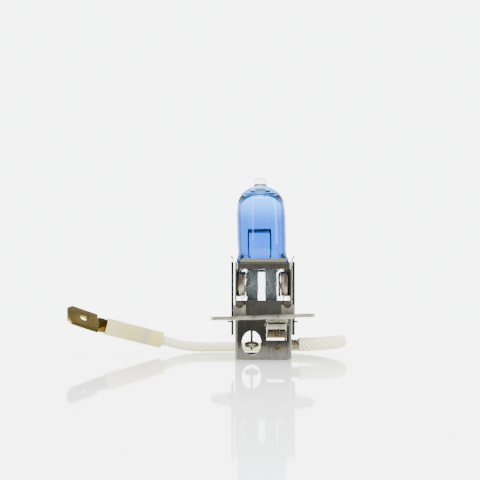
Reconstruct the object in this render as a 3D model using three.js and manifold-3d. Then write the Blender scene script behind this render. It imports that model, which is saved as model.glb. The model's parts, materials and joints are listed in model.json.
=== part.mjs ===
// Halogen headlamp bulb with a round PK22s flange, a pressed metal holder and an insulated flying lead.
// Millimetres, +Z towards the glass tip, and -Y is the side with the ground tab. The origin is on the
// bulb's axis, at the height of the holder's feet. Heights below are from the flange's upper face, which
// is the reference plane that locates the filament, and the assembly is raised by FOOT.height at the end.

import * as THREE from 'three';
import { mergeVertices } from 'three/addons/utils/BufferGeometryUtils.js';
import Module from 'manifold-3d';

// Driving dimensions
const GAP = 0.3; // clearance between neighbouring pieces
const SHEET = 0.35; // pressed sheet steel

const FLANGE = { radius: 11, thick: 0.7, notchX: [-2.2, 2.8], notchY: -9.9 };
const TAB = { x: 4.9, width: 2.5, top: 2.3, cutX: 4.87, cutZ: 2.6, cutRadius: 0.95 };
const HOLDER = { half: 5.85, depth: 4.5, bottom: -8.8, top: 11.07, wallTop: 10.4, bend: 0.75, seam: 0.2 };
const WINDOW = { half: 6.2, low: 3.2, high: 9.6, wrap: 0.9 }; // wrap: how far it runs round each corner
const LIP = { half: 4.7, height: 0.9, chamfer: 0.45, lean: 0.42 };
const FOOT = { width: 1.25, depth: 1.2, drop: 0.2, height: 9.0 };
const FLOOR_DEPTH = 2.3;
const OVAL = { x: -2.44, z: -5.55, halfWidth: 1.97, halfHeight: 2.5 };
const TAB_WINDOW = { left: 0.62, right: 4.72, low: -4.95, high: -1.3 };
const REAR_OPENING = { half: 4.9, low: -7.9, high: -1.2 };
const STRAP = { low: -4.0, high: 11.3, halfDepth: 2.4, lugReach: 0.8, lugHalf: 0.8 };
const EAR = { half: 1.0, thick: 0.2, top: 12.7, reach: 0.4 }; // the strap's thin flared end

const BULB = { radius: 5.2, bore: 4.35, neck: 14.4, shoulder: 22.6, dome: 27.1, tip: 29.8, tipRadius: 1.6 };
const PINCH = { half: 4.6, topHalf: 5.2, thick: 2.9, low: 1.2, flare: 10.2, high: 12.2 };
const FOIL = { width: 2.54, thick: 0.2, low: 2.6, high: 10.4, liveX: -2.23, groundX: 1.75 };
const POST = { radius: 0.18, liveX: -3.0, groundTopX: 1.68, groundX: 1.9, high: 18.3, bend: 15.2 };
const COIL = { z: 18.0, left: -2.5, right: 1.18, radius: 0.385, wire: 0.085, turns: 12 };
const PIN = { radius: 0.225, liveX: -2.3, liveLow: -7.3, groundLow: -2.9 };
const CLIP = { outer: 5.2, thick: 0.3, reach: 4.05, low: 3.9, high: 9.0 };

const LEAD_Z = -6.06; // height of the ferrule and of the joint inside the holder
const SPLICE = { left: -3.7, right: -0.85, halfHeight: 0.65, halfDepth: 0.85 };
const CONDUCTOR = { radius: 0.35, left: -0.55, right: 7.1 };
const INNER_SLEEVE = { left: -0.25, right: 4.6, outer: 0.95, inner: 0.65 };
const FERRULE = { left: 4.9, right: 7.15, outer: 1.13, inner: 0.75 };
const LEAD_RADIUS = 1.25;

const SLEEVE = {
  start: [-36.5, 14.7, -2.4], azimuth: 21.5, drop: 14.5, length: 13.9, outer: 2.05, inner: 1.7,
};
const CRIMP = { neckHalf: 1.3, wire: [0.9, 5.6, 1.2], insulation: [6.2, 9.5, 1.45], spine: 0.7 };
const BLADE = {
  azimuth: 31, drop: 18.5, roll: 40, width: 6.3, thick: 0.8, length: 7.9,
  neck: 1.1, neckWidth: 2.3, chamfer: 1.1, hole: 0.85, holeFromTip: 3.9,
};

// The flying lead's route, from the ferrule to the straight stretch behind the sleeve.
const LEAD_ROUTE = [
  [7.45, 0, -6.06], [10.5, 0.45, -5.98], [13.1, 1.8, -5.88], [15.5, 4.1, -5.78], [17.3, 7.1, -5.72],
  [18.2, 10.6, -5.8], [18.1, 14.2, -6.05], [16.9, 17.6, -6.45], [14.6, 20.3, -6.9], [11.5, 22.1, -7.3],
  [7.9, 23.1, -7.6], [4, 23.5, -7.7], [0, 23.7, -7.7], [-4, 23.8, -7.7], [-8, 23.7, -7.7],
  [-12, 23.3, -7.7], [-15.8, 22.5, -7.62],
];
const STRAIGHT_BEYOND_SLEEVE = 4.8; // how far the lead runs straight past the sleeve, so it can slide
const LEAD_STEPS = 34;

// Finishes
const FINISH = {
  nickel: { color: 0xb5b3a8, roughness: 0.28, metalness: 1 },
  steel: { color: 0x8f8c84, roughness: 0.36, metalness: 1 },
  spring: { color: 0x7d766b, roughness: 0.4, metalness: 1 },
  glass: { color: 0x7fb2ea, roughness: 0.05, metalness: 0, transparent: true, opacity: 0.55 },
  tungsten: { color: 0x55565a, roughness: 0.45, metalness: 1 },
  foil: { color: 0x6b7070, roughness: 0.5, metalness: 1 },
  braid: { color: 0xe6e7d6, roughness: 0.9, metalness: 0 },
  copper: { color: 0xb87850, roughness: 0.4, metalness: 1 },
  brass: { color: 0xa08850, roughness: 0.35, metalness: 1 },
  silicone: { color: 0xe4dfc8, roughness: 0.5, metalness: 0 },
};

const wasm = await Module();
wasm.setup();

// Geometry helpers

function solid(geometry) {
  const bare = geometry.index ? geometry.toNonIndexed() : geometry.clone();
  bare.deleteAttribute('normal');
  bare.deleteAttribute('uv');
  const merged = mergeVertices(bare, 1e-5);
  return new wasm.Manifold(new wasm.Mesh({
    numProp: 3,
    vertProperties: new Float32Array(merged.attributes.position.array),
    triVerts: new Uint32Array(merged.index.array),
  }));
}

function surface(manifold) {
  const mesh = manifold.getMesh();
  const geometry = new THREE.BufferGeometry();
  geometry.setAttribute('position', new THREE.BufferAttribute(new Float32Array(mesh.vertProperties), 3));
  geometry.setIndex(new THREE.BufferAttribute(new Uint32Array(mesh.triVerts), 1));
  geometry.computeVertexNormals();
  return geometry;
}

function join(...pieces) {
  return pieces.reduce((whole, piece) => whole.add(piece));
}

function cut(body, ...tools) {
  return tools.reduce((rest, tool) => rest.subtract(tool), body);
}

function block(x0, x1, y0, y1, z0, z1) {
  const geometry = new THREE.BoxGeometry(x1 - x0, y1 - y0, z1 - z0);
  return solid(geometry.translate((x0 + x1) / 2, (y0 + y1) / 2, (z0 + z1) / 2));
}

// A flat outline in X and Y, raised from z0 to z1.
function plate(shape, z0, z1, curveSegments = 8) {
  const options = { depth: z1 - z0, bevelEnabled: false, curveSegments };
  return new THREE.ExtrudeGeometry(shape, options).translate(0, 0, z0);
}

// A flat outline drawn in X and Z, given a thickness from y0 to y1.
function wall(shape, y0, y1, curveSegments = 8) {
  return plate(shape, -y1, -y0, curveSegments).rotateX(Math.PI / 2);
}

// A profile of [radius, height] points turned about the Z axis.
function turned(profile, segments) {
  const points = profile.map(([radius, height]) => new THREE.Vector2(radius, height));
  return new THREE.LatheGeometry(points, segments).rotateX(Math.PI / 2);
}

function rodAlongZ(x, y, z0, z1, radius, segments = 12) {
  const geometry = new THREE.CylinderGeometry(radius, radius, z1 - z0, segments);
  return geometry.rotateX(Math.PI / 2).translate(x, y, (z0 + z1) / 2);
}

function rodAlongX(x0, x1, y, z, radius, segments = 16) {
  const geometry = new THREE.CylinderGeometry(radius, radius, x1 - x0, segments);
  return geometry.rotateZ(Math.PI / 2).translate((x0 + x1) / 2, y, z);
}

// A hollow tube along X with the same wall all round.
function ringAlongX(x0, x1, outer, inner, segments = 24) {
  const profile = [[inner, x0], [outer, x0], [outer, x1], [inner, x1], [inner, x0]];
  return turned(profile, segments).rotateY(Math.PI / 2);
}

// A round wire or cord that follows a curve.
function wire(curve, radius, sides, steps) {
  const section = new THREE.Shape();
  for (let i = 0; i < sides; i += 1) {
    const angle = (2 * Math.PI * (i + 0.5)) / sides;
    const point = [radius * Math.cos(angle), radius * Math.sin(angle)];
    if (i === 0) section.moveTo(...point);
    else section.lineTo(...point);
  }
  section.closePath();
  return new THREE.ExtrudeGeometry(section, { steps, bevelEnabled: false, extrudePath: curve });
}

function polyline(points, closed = false) {
  const shape = new THREE.Shape(points.map(([x, y]) => new THREE.Vector2(x, y)));
  if (closed) shape.closePath();
  return shape;
}

function part(name, geometry, finish) {
  const mesh = new THREE.Mesh(geometry, new THREE.MeshStandardMaterial(FINISH[finish]));
  mesh.name = name;
  return mesh;
}

// Unit vectors of a flat piece whose length runs at an azimuth, drops, and is rolled about itself.
function tiltedFrame(origin, azimuth, drop, roll) {
  const [a, d, r] = [azimuth, drop, roll].map(THREE.MathUtils.degToRad);
  const along = new THREE.Vector3(Math.cos(d) * Math.cos(a), Math.cos(d) * Math.sin(a), -Math.sin(d));
  const level = new THREE.Vector3(-Math.sin(a), Math.cos(a), 0);
  const rise = new THREE.Vector3().crossVectors(along, level);
  const across = level.multiplyScalar(Math.cos(r)).addScaledVector(rise, Math.sin(r));
  const normal = new THREE.Vector3().crossVectors(along, across);
  return new THREE.Matrix4().makeBasis(along, across, normal).setPosition(...origin);
}

// Glass capsule: blown cylinder and dome with the exhaust tip, over a flat pinch seal.

function glassCapsule() {
  const outer = [
    [0, BULB.tip], [0.45, BULB.tip - 0.15], [0.8, BULB.tip - 0.6], [1.05, BULB.tip - 1.4],
    [BULB.tipRadius, BULB.dome + 0.35], [2.5, BULB.dome - 0.05], [3.6, BULB.dome - 0.85],
    [4.5, BULB.dome - 1.95], [5.0, BULB.dome - 3.3], [BULB.radius, BULB.shoulder],
    [BULB.radius, BULB.neck], [5.0, 13.6], [4.4, 12.7], [3.0, 11.8], [1.6, 11.0], [0, 10.6],
  ];
  const bore = [
    [0, 25.9], [1.6, 25.65], [3.0, 24.9], [3.95, 23.7], [BULB.bore, BULB.shoulder - 0.3],
    [BULB.bore, 15.4], [3.9, 14.3], [3.0, 13.5], [1.6, 13.1], [0, 13.0],
  ];
  const outline = polyline([
    [-PINCH.half, PINCH.low], [PINCH.half, PINCH.low], [PINCH.half, PINCH.flare],
    [PINCH.topHalf, PINCH.high - 0.9], [PINCH.topHalf, PINCH.high], [4.4, 14.2], [-4.4, 14.2],
    [-PINCH.topHalf, PINCH.high], [-PINCH.topHalf, PINCH.high - 0.9], [-PINCH.half, PINCH.flare],
  ]);
  const pinch = solid(wall(outline, -PINCH.thick / 2, PINCH.thick / 2));
  const body = join(solid(turned(outer.reverse(), 36)), pinch);
  const slots = [FOIL.liveX, FOIL.groundX].map((x) => {
    const half = FOIL.width / 2 + GAP;
    const deep = FOIL.thick / 2 + GAP;
    return block(x - half, x + half, -deep, deep, FOIL.low - GAP, FOIL.high + GAP);
  });
  const postWay = POST.radius + GAP;
  const pinWay = PIN.radius + GAP;
  const ways = [
    rodAlongZ(POST.liveX, 0, FOIL.high, 14.4, postWay), rodAlongZ(POST.groundX, 0, FOIL.high, 14.4, postWay),
    rodAlongZ(PIN.liveX, 0, PINCH.low - 1, FOIL.low, pinWay),
    rodAlongZ(FOIL.groundX, 0, PINCH.low - 1, FOIL.low, pinWay),
  ].map(solid);
  return surface(cut(body, solid(turned(bore.reverse(), 32)), ...slots, ...ways));
}

class CoilCurve extends THREE.Curve {
  getPoint(t, target = new THREE.Vector3()) {
    const angle = 2 * Math.PI * COIL.turns * t;
    const x = THREE.MathUtils.lerp(COIL.left, COIL.right, t);
    return target.set(x, -COIL.radius * Math.sin(angle), COIL.z + COIL.radius * Math.cos(angle));
  }
}

function sealFoil(x) {
  const half = FOIL.width / 2;
  const shape = polyline([
    [x - half, FOIL.low], [x + half, FOIL.low], [x + half, FOIL.high], [x - half, FOIL.high],
  ]);
  return wall(shape, -FOIL.thick / 2, FOIL.thick / 2);
}

function bentPost() {
  const curve = new THREE.CatmullRomCurve3([
    new THREE.Vector3(POST.groundTopX, 0, POST.high),
    new THREE.Vector3(POST.groundTopX, 0, POST.bend),
    new THREE.Vector3(POST.groundX, 0, POST.bend - 1.6),
    new THREE.Vector3(POST.groundX, 0, FOIL.high + GAP),
  ], false, 'chordal');
  return wire(curve, POST.radius, 8, 10);
}

// The ground pin comes down from the seal, then forward through the ground tab's slot.
function groundPin() {
  const x = FOIL.groundX;
  const curve = new THREE.CatmullRomCurve3([
    new THREE.Vector3(x, 0, FOIL.low - GAP), new THREE.Vector3(x, 0, 0), new THREE.Vector3(x, -0.2, -1.7),
    new THREE.Vector3(2.1, -1.5, -2.75), new THREE.Vector3(2.5, -3.2, PIN.groundLow),
    new THREE.Vector3(2.5, -4.2, PIN.groundLow),
  ], false, 'chordal');
  const leg = solid(wire(curve, PIN.radius, 8, 18));
  const flat = new THREE.Shape();
  const [half, high, low] = [0.5, PIN.groundLow + 0.2, PIN.groundLow - 1.05];
  flat.moveTo(2.5 - half, high);
  flat.lineTo(2.5 - half, low + half);
  flat.absarc(2.5, low + half, half, Math.PI, 2 * Math.PI, false);
  flat.lineTo(2.5 + half, high);
  flat.closePath();
  const nose = solid(wall(flat, -5.3, -5.0));
  const throat = block(2.2, 2.8, -5.1, -4.0, PIN.groundLow - 0.25, PIN.groundLow + 0.12);
  return surface(join(leg, throat, nose));
}

// Holder: two pressed half shells that meet at a seam, drawn here as the front one.

function channelShape() {
  const { half, depth, bend, seam } = HOLDER;
  const inner = bend - SHEET;
  const shape = new THREE.Shape();
  shape.moveTo(-half, -seam);
  shape.lineTo(-half, -depth + bend);
  shape.absarc(-half + bend, -depth + bend, bend, Math.PI, 1.5 * Math.PI, false);
  shape.lineTo(half - bend, -depth);
  shape.absarc(half - bend, -depth + bend, bend, 1.5 * Math.PI, 2 * Math.PI, false);
  shape.lineTo(half, -seam);
  shape.lineTo(half - SHEET, -seam);
  shape.lineTo(half - SHEET, -depth + bend);
  shape.absarc(half - bend, -depth + bend, inner, 2 * Math.PI, 1.5 * Math.PI, true);
  shape.lineTo(-half + bend, -depth + SHEET);
  shape.absarc(-half + bend, -depth + bend, inner, 1.5 * Math.PI, Math.PI, true);
  shape.lineTo(-half + SHEET, -seam);
  shape.closePath();
  return shape;
}

function topLip() {
  const { half, height, chamfer, lean } = LIP;
  const outline = polyline([
    [-half, -0.25], [half, -0.25], [half, height - chamfer], [half - chamfer, height],
    [-half + chamfer, height], [-half, height - chamfer],
  ]);
  const geometry = wall(outline, 0, SHEET * 0.9).rotateX(-lean);
  return solid(geometry.translate(0, -HOLDER.depth + 0.05, HOLDER.top));
}

function halfShell(ferruleSide, ...openings) {
  const { half, depth, bottom, top, wallTop } = HOLDER;
  const channel = solid(plate(channelShape(), bottom, top, 6));
  const sideTrim = block(-half - 1, half + 1, -depth + HOLDER.bend, 0, wallTop, top + 1);
  const floor = block(-half + 0.3, half - 0.3, -depth + 0.2, -FLOOR_DEPTH, bottom - 0.02, bottom + SHEET);
  const feet = [-1, 1].map((side) => {
    const [a, b] = [side * (half - 0.4), side * (half - FOOT.width)];
    const [x0, x1] = [Math.min(a, b), Math.max(a, b)];
    return block(x0, x1, -depth + 0.12, -depth + FOOT.depth, bottom - FOOT.drop, bottom + 0.2);
  });
  const body = join(cut(channel, sideTrim), floor, ...feet, topLip());
  const window = block(-WINDOW.half, WINDOW.half, -depth - 1, -depth + WINDOW.wrap, WINDOW.low, WINDOW.high);
  const leadHole = solid(rodAlongX(
    ferruleSide > 0 ? half - 1 : -half - 1, ferruleSide > 0 ? half + 1 : -half + 1,
    0, LEAD_Z, FERRULE.outer + GAP, 24,
  ));
  return cut(body, window, leadHole, ...openings);
}

function frontShell() {
  const { depth } = HOLDER;
  const oval = new THREE.Shape();
  oval.absellipse(OVAL.x, OVAL.z, OVAL.halfWidth, OVAL.halfHeight, 0, 2 * Math.PI, false, 0);
  const viewHole = solid(wall(oval, -depth - 1, -depth + 1, 16));
  const { left, right, low, high } = TAB_WINDOW;
  const tabHole = block(left, right, -depth - 1, -depth + 1, low, high);
  // A rounded bead frames the top of the ground tab's window.
  const bead = new THREE.CatmullRomCurve3([
    [0.5, -2.05], [0.5, -1.55], [0.85, -1.12], [2.7, -1.06], [4.5, -1.12], [4.85, -1.55], [4.85, -2.05],
  ].map(([x, z]) => new THREE.Vector3(x, -depth - 0.12, z)), false, 'centripetal');
  const shell = halfShell(1, viewHole);
  return surface(join(cut(shell, tabHole), solid(wire(bead, 0.26, 8, 18))));
}

function rearShell() {
  const { half, low, high } = REAR_OPENING;
  const { depth } = HOLDER;
  return surface(halfShell(-1, block(-half, half, -depth - 1, -depth + 1, low, high)));
}

// The ground tab is a bent strip in the front shell's window, slotted for the ground pin.
function groundTab() {
  const [left, right] = [TAB_WINDOW.left + GAP, TAB_WINDOW.right - GAP];
  const profile = polyline([
    [-4.15, -1.6], [-4.45, -1.6], [-4.75, -2.6], [-4.75, -3.2], [-4.5, -4.4], [-4.2, -4.4],
    [-4.45, -3.15], [-4.45, -2.65],
  ]);
  const strip = plate(profile, left, right).applyMatrix4(
    new THREE.Matrix4().set(0, 0, 1, 0, 1, 0, 0, 0, 0, 1, 0, 0, 0, 0, 0, 1),
  );
  const slot = block(left + 0.3, right - 0.3, -6, -3, PIN.groundLow - 0.5, PIN.groundLow + 0.5);
  return surface(cut(solid(strip), slot));
}

// The strap's upper end is rolled thin and flares outward as a spring ear.
function ear(innerX) {
  const outerX = innerX + EAR.thick;
  const [root, bend] = [STRAP.high - 0.4, STRAP.high + 0.4];
  const shape = new THREE.Shape();
  shape.moveTo(innerX, root);
  shape.lineTo(outerX, root);
  shape.lineTo(outerX, bend);
  shape.quadraticCurveTo(outerX, EAR.top - 0.4, outerX + EAR.reach, EAR.top);
  shape.lineTo(innerX + EAR.reach, EAR.top + 0.1);
  shape.quadraticCurveTo(innerX, EAR.top - 0.3, innerX, bend);
  shape.closePath();
  return solid(wall(shape, -EAR.half, EAR.half, 6));
}

function sideStrap() {
  const inner = HOLDER.half + GAP;
  const outer = inner + SHEET;
  const { low, high, halfDepth, lugReach, lugHalf } = STRAP;
  const lugTop = -FLANGE.thick - GAP;
  return surface(join(
    block(inner, outer, -halfDepth, halfDepth, low, high),
    block(inner, outer + lugReach, -lugHalf, lugHalf, lugTop - SHEET, lugTop),
    ear(inner),
  ));
}

// A spring clip folds round each edge of the pinch seal.
function pinchClip() {
  const { outer, thick, reach, low, high } = CLIP;
  const face = PINCH.thick / 2 + GAP;
  const back = face + thick;
  const shape = new THREE.Shape();
  shape.moveTo(reach, -back);
  shape.lineTo(outer - thick, -back);
  shape.absarc(outer - thick, -back + thick, thick, 1.5 * Math.PI, 2 * Math.PI, false);
  shape.lineTo(outer, back - thick);
  shape.absarc(outer - thick, back - thick, thick, 0, 0.5 * Math.PI, false);
  shape.lineTo(reach, back);
  shape.lineTo(reach, face);
  shape.lineTo(outer - thick, face);
  shape.lineTo(outer - thick, -face);
  shape.lineTo(reach, -face);
  shape.closePath();
  return plate(shape, low, high, 4);
}

// Flange: a notched disc with a cross-shaped hole for the holder and four upturned tabs.

function flange() {
  const { radius, thick, notchX, notchY } = FLANGE;
  const start = Math.asin(notchX[1] / radius) - Math.PI / 2;
  const end = Math.asin(notchX[0] / radius) + 1.5 * Math.PI;
  const disc = new THREE.Shape();
  disc.absarc(0, 0, radius, start, end, false);
  disc.lineTo(notchX[0], notchY);
  disc.lineTo(notchX[1], notchY);
  disc.closePath();
  const [holeX, holeY] = [HOLDER.half + GAP, HOLDER.depth + GAP];
  const strapX = HOLDER.half + GAP + SHEET + GAP;
  const strapY = STRAP.halfDepth + GAP;
  const hole = block(-holeX, holeX, -holeY, holeY, -5, 5);
  const strapHole = block(-strapX, strapX, -strapY, strapY, -5, 5);
  const tabs = [[-1, -1], [1, -1], [-1, 1], [1, 1]].map(([sideX, sideY]) => {
    const x = sideX * TAB.x;
    const yNear = sideY * holeY;
    const yFar = sideY * (holeY + SHEET);
    const upright = block(
      x - TAB.width / 2, x + TAB.width / 2, Math.min(yNear, yFar), Math.max(yNear, yFar), -thick, TAB.top,
    );
    const mouth = new THREE.Shape();
    mouth.absarc(sideX * TAB.cutX, TAB.cutZ, TAB.cutRadius, 0, 2 * Math.PI, false);
    return cut(upright, solid(wall(mouth, yNear - 1, yNear + 1, 10)));
  });
  return surface(join(cut(solid(plate(disc, -thick, 0, 40)), hole, strapHole), ...tabs));
}

// Live joint inside the holder

function splice() {
  const { left, right, halfHeight, halfDepth } = SPLICE;
  const section = new THREE.Shape();
  section.absellipse(0, 0, halfDepth, halfHeight, 0, 2 * Math.PI, false, 0);
  const barrel = plate(section, left, right, 10).applyMatrix4(
    new THREE.Matrix4().set(0, 0, 1, 0, 1, 0, 0, 0, 0, 1, 0, LEAD_Z, 0, 0, 0, 1),
  );
  return surface(cut(solid(barrel), solid(rodAlongZ(PIN.liveX, 0, -8, -4, PIN.radius + GAP, 16))));
}

function ferrule() {
  const { left, right, outer, inner } = FERRULE;
  const waist = outer - 0.12;
  const profile = [
    [inner, left], [outer, left], [outer, right - 1.2], [waist, right - 1.1], [waist, right - 0.85],
    [outer, right - 0.75], [outer, right - 0.55], [waist, right - 0.45], [waist, right - 0.3],
    [outer, right - 0.2], [outer, right], [inner, right], [inner, left],
  ];
  return turned(profile, 24).rotateY(Math.PI / 2).translate(0, 0, LEAD_Z);
}

// Lead, terminal and sleeve

function sleeveFrame() {
  return tiltedFrame(SLEEVE.start, SLEEVE.azimuth, SLEEVE.drop, BLADE.roll);
}

function leadCurve() {
  const frame = sleeveFrame();
  const onAxis = (distance) => new THREE.Vector3(distance, 0, 0).applyMatrix4(frame);
  const inside = CRIMP.insulation[1] + GAP;
  const straight = [SLEEVE.length + STRAIGHT_BEYOND_SLEEVE, SLEEVE.length + 2, SLEEVE.length - 1.5, inside];
  const points = LEAD_ROUTE.map((point) => new THREE.Vector3(...point));
  return new THREE.CatmullRomCurve3([...points, ...straight.map(onAxis)], false, 'centripetal');
}

function terminal() {
  const { neckHalf, wire: core, insulation, spine } = CRIMP;
  const crimpFrame = sleeveFrame();
  const bladeFrame = tiltedFrame(SLEEVE.start, BLADE.azimuth, BLADE.drop, BLADE.roll);
  const rod = ([from, to, radius]) => rodAlongX(from, to, 0, 0, radius, 20);
  const neck = new THREE.BoxGeometry(1.9, 2 * neckHalf, BLADE.thick + 0.3).translate(0.55, 0, 0);
  const back = new THREE.BoxGeometry(insulation[1] - 1.4, 2 * spine, 1.5);
  back.translate((insulation[1] + 0.9) / 2, 0, 0);
  const crimp = [neck, rod(core), rod(insulation), back].map((g) => solid(g.applyMatrix4(crimpFrame)));
  const { width, length, chamfer, neck: reach, neckWidth, thick, hole, holeFromTip } = BLADE;
  const tip = -length - reach;
  const outline = polyline([
    [tip, -width / 2 + chamfer], [tip + chamfer, -width / 2], [-reach, -width / 2], [-reach, -neckWidth / 2],
    [0.5, -neckWidth / 2], [0.5, neckWidth / 2], [-reach, neckWidth / 2], [-reach, width / 2],
    [tip + chamfer, width / 2], [tip, width / 2 - chamfer],
  ]);
  const eye = new THREE.Path();
  eye.absarc(tip + holeFromTip, 0, hole, 0, 2 * Math.PI, true);
  outline.holes.push(eye);
  const tab = solid(plate(outline, -thick / 2, thick / 2, 12).applyMatrix4(bladeFrame));
  return surface(join(tab, ...crimp));
}

function sleeve() {
  const tube = ringAlongX(0, SLEEVE.length, SLEEVE.outer, SLEEVE.inner, 28);
  return tube.applyMatrix4(sleeveFrame());
}

// Assembly

const capsule = new THREE.Group();
capsule.add(part('glass_capsule', glassCapsule(), 'glass'));
capsule.add(part('filament_coil', wire(new CoilCurve(), COIL.wire, 6, COIL.turns * 9), 'tungsten'));
capsule.add(part(
  'filament_post_live', rodAlongZ(POST.liveX, 0, FOIL.high + GAP, POST.high, POST.radius), 'tungsten',
));
capsule.add(part('filament_post_ground', bentPost(), 'tungsten'));
capsule.add(part('seal_foil_live', sealFoil(FOIL.liveX), 'foil'));
capsule.add(part('seal_foil_ground', sealFoil(FOIL.groundX), 'foil'));
capsule.add(part('live_pin', rodAlongZ(PIN.liveX, 0, PIN.liveLow, FOIL.low - GAP, PIN.radius), 'tungsten'));
capsule.add(part('ground_pin', groundPin(), 'tungsten'));

const holder = new THREE.Group();
holder.add(part('holder_front_shell', frontShell(), 'steel'));
const rear = part('holder_rear_shell', rearShell(), 'steel');
rear.rotation.z = Math.PI;
holder.add(rear);
holder.add(part('mounting_flange', flange(), 'nickel'));
holder.add(part('ground_tab', groundTab(), 'nickel'));
for (const [name, turn] of [['right', 0], ['left', Math.PI]]) {
  const strap = part(`side_strap_${name}`, sideStrap(), 'steel');
  strap.rotation.z = turn;
  const clip = part(`pinch_clip_${name}`, pinchClip(), 'spring');
  clip.rotation.z = turn;
  holder.add(strap, clip);
}

const supply = new THREE.Group();
supply.add(part('live_splice', splice(), 'nickel'));
supply.add(part(
  'inner_conductor', rodAlongX(CONDUCTOR.left, CONDUCTOR.right, 0, LEAD_Z, CONDUCTOR.radius, 10), 'copper',
));
supply.add(part(
  'inner_insulation',
  ringAlongX(INNER_SLEEVE.left, INNER_SLEEVE.right, INNER_SLEEVE.outer, INNER_SLEEVE.inner, 20)
    .translate(0, 0, LEAD_Z),
  'braid',
));
supply.add(part('lead_ferrule', ferrule(), 'nickel'));
supply.add(part('flying_lead', wire(leadCurve(), LEAD_RADIUS, 8, LEAD_STEPS), 'braid'));
supply.add(part('blade_terminal', terminal(), 'brass'));
supply.add(part('terminal_sleeve', sleeve(), 'silicone'));

const bulb = new THREE.Group();
bulb.add(capsule, holder, supply);
bulb.position.z = FOOT.height;

export default bulb;
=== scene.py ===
import json
import math

import bmesh
import bpy
import numpy as np
from bpy.props import FloatProperty, FloatVectorProperty, IntProperty, PointerProperty
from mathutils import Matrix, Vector


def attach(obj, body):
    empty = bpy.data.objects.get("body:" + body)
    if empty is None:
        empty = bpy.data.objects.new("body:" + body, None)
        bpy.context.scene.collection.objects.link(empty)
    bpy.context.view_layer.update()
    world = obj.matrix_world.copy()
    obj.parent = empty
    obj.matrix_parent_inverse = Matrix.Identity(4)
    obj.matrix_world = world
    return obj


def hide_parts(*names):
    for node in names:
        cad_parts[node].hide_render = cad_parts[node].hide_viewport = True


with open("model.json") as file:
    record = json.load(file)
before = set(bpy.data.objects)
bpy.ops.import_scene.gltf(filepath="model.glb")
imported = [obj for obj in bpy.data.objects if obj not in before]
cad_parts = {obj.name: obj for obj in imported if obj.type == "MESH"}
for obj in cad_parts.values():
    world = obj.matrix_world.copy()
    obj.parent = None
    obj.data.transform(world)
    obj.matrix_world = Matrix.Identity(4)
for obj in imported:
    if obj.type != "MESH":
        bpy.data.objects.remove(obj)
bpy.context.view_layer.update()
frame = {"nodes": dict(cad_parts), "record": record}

bl_info = {
    "name": "Headlight Bulb",
    "version": (1, 0, 0),
    "blender": (4, 5, 0),
    "location": "View3D > Sidebar > Bulb",
    "description": "Dresses a packed halogen headlight bulb: capsule, holder, flange, lead and stage",
    "category": "Object",
}

MM = 0.001
BULB = "bulb"
SLEEVE = "sleeve"
MOUNTS = {mount["name"]: mount for mount in frame["record"]["mounts"]}
REFERENCE = MOUNTS["flange_seat"]["pos_m"][2] / MM  # height of the flange's upper face, in mm

# Heights and places below are in mm. Z is measured from the flange's upper face.
SLEEVE_START = (-36.5, 14.7, -2.4)  # middle of the sleeve's mouth, on the lead's straight stretch
SLEEVE_TURN = (21.5, 14.5, 40.0)  # degrees: azimuth, drop and roll of the sleeve and the crimps
BLADE_TURN = (31.0, 18.5, 40.0)  # the same for the blade, which is bent aside
LEAD_ROUTE = (
    (0.00745, 0, -0.00606), (0.0105, 0.00045, -0.00598), (0.0131, 0.0018, -0.00588),
    (0.0155, 0.0041, -0.00578), (0.0173, 0.0071, -0.00572), (0.0182, 0.0106, -0.0058),
    (0.0181, 0.0142, -0.00605), (0.0169, 0.0176, -0.00645), (0.0146, 0.0203, -0.0069),
    (0.0115, 0.0221, -0.0073), (0.0079, 0.0231, -0.0076), (0.004, 0.0235, -0.0077),
    (0, 0.0237, -0.0077), (-0.004, 0.0238, -0.0077), (-0.008, 0.0237, -0.0077),
    (-0.012, 0.0233, -0.0077), (-0.0158, 0.0225, -0.00762),
)  # metres: the route's points up to the straight stretch behind the sleeve
STRAIGHT_POINTS = (18.7, 15.9, 12.4, 9.8)  # mm along the sleeve's axis, from its mouth
LEAD_RINGS = 1000
JOINT_HEIGHT = -6.06  # of the lead's exit, the ferrule and the crimped joint
FILAMENT_HEIGHT = 18.0
HOLDER_FRONT = -4.5  # Y of the front shell's face
FLANGE_RADIUS = 11.0
WELDS = ((-4.87, 2.15), (4.87, 2.15))  # X and Z of the front shell's spot welds
DIMPLE = (2.8, -6.2)  # X and Z of the pressed half dimple under the ground tab


# Colour and node helpers

def linear(hex_colour):
    """sRGB hex to linear: a straight foot below 0.04045, a 2.4 power above it."""
    srgb = np.array([int(hex_colour[i:i + 2], 16) for i in (1, 3, 5)]) / 255
    light = np.where(srgb <= 0.04045, srgb / 12.92, ((srgb + 0.055) / 1.055) ** 2.4)
    return (*light.tolist(), 1.0)


def add(tree, kind, inputs=None, **settings):
    """Adds one node, applies its settings, and sets or links its inputs."""
    new = tree.nodes.new(kind)
    for key, value in settings.items():
        setattr(new, key, value)
    for key, value in (inputs or {}).items():
        if isinstance(value, bpy.types.NodeSocket):
            tree.links.new(value, new.inputs[key])
        else:
            new.inputs[key].default_value = value
    return new


def new_material(name, **constants):
    """A Principled material. Returns it, its tree and its shader, with constants set on the shader."""
    made = bpy.data.materials.new(name)
    made.use_nodes = True
    shader = made.node_tree.nodes["Principled BSDF"]
    for key, value in constants.items():
        shader.inputs[key.replace("_", " ")].default_value = value
    return made, made.node_tree, shader


def feed(tree, shader, **sockets):
    """Links each socket to the shader input of that name."""
    for key, socket in sockets.items():
        tree.links.new(socket, shader.inputs[key.replace("_", " ")])


def calc(tree, operation, *values):
    """One step of arithmetic on one, two or three values."""
    return add(tree, "ShaderNodeMath", dict(enumerate(values)), operation=operation).outputs[0]


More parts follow.
